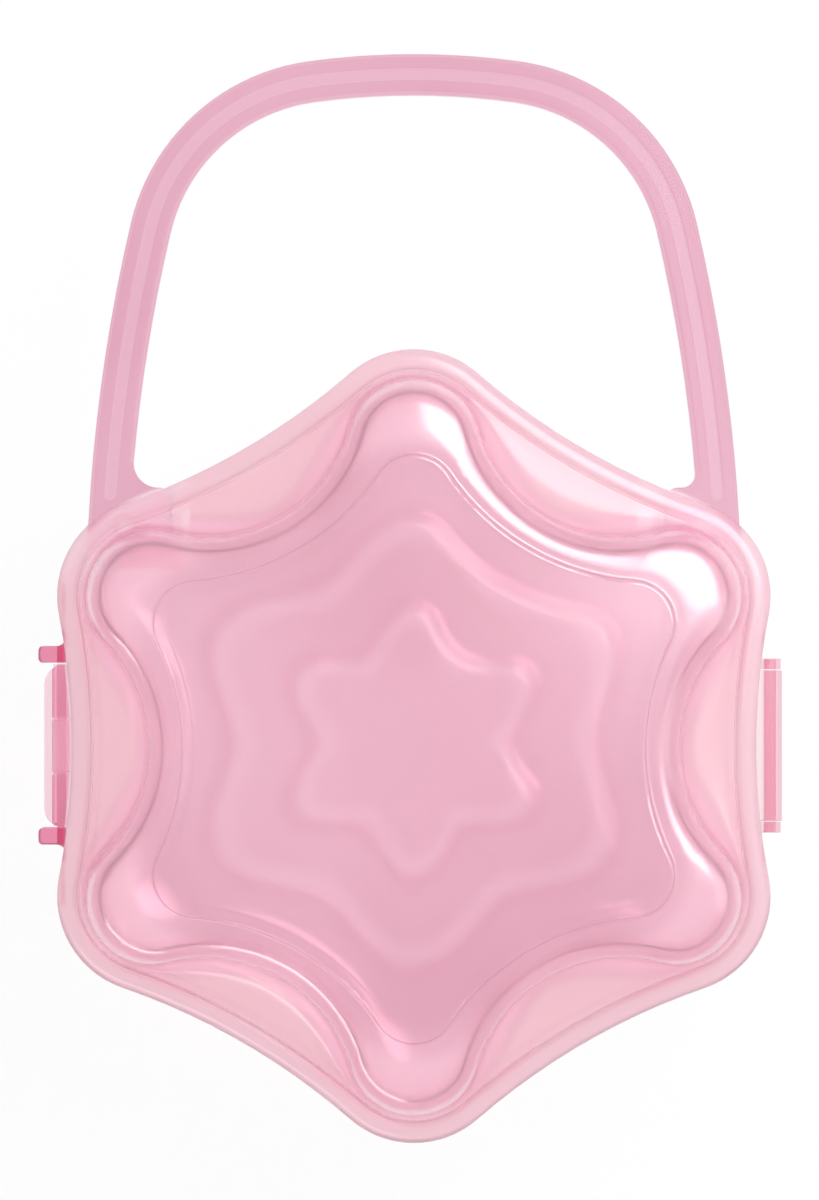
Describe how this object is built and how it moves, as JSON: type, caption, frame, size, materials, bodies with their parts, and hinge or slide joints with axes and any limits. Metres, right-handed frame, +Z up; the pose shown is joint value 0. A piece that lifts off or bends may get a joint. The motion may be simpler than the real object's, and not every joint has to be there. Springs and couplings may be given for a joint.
{
  "type": "pacifier case",
  "caption": "Star-shaped hinged clamshell case for a pacifier, in translucent pink plastic, with a side clasp and a tall strap handle.",
  "frame": {"origin": "centre of the back shell's flat outer face, on which the case lies", "axes": "+Z up through the lid's face, +Y towards the handle, +X towards the lid's hinge"},
  "size_m": [0.0862, 0.126, 0.0478],
  "materials": {
    "shell_plastic": "milky translucent pink moulding, polished outside",
    "handle_plastic": "translucent pink moulding, satin gloss",
    "clasp_plastic": "translucent pink moulding, glossy",
    "pin_plastic": "translucent pink moulding, smooth"
  },
  "bodies": {
    "case_back": {"back_shell": "shell_plastic", "carry_handle": "handle_plastic", "handle_peg_left": "pin_plastic", "handle_peg_right": "pin_plastic", "hinge_pin": "pin_plastic", "latch_pin": "pin_plastic"},
    "lid": {"front_shell": "shell_plastic"},
    "clasp": {"latch_clasp": "clasp_plastic"}
  },
  "joints": [
    {"name": "lid_hinge", "type": "hinge", "parent": "case_back", "child": "lid", "pos_m": [0.04126, 0, 0.0241], "axis": [0, 1, 0], "range_deg": [0, 180]},
    {"name": "clasp_pivot", "type": "hinge", "parent": "case_back", "child": "clasp", "pos_m": [-0.04101, 0, 0.0198], "axis": [0, -1, 0], "range_deg": [0, 100]}
  ]
}
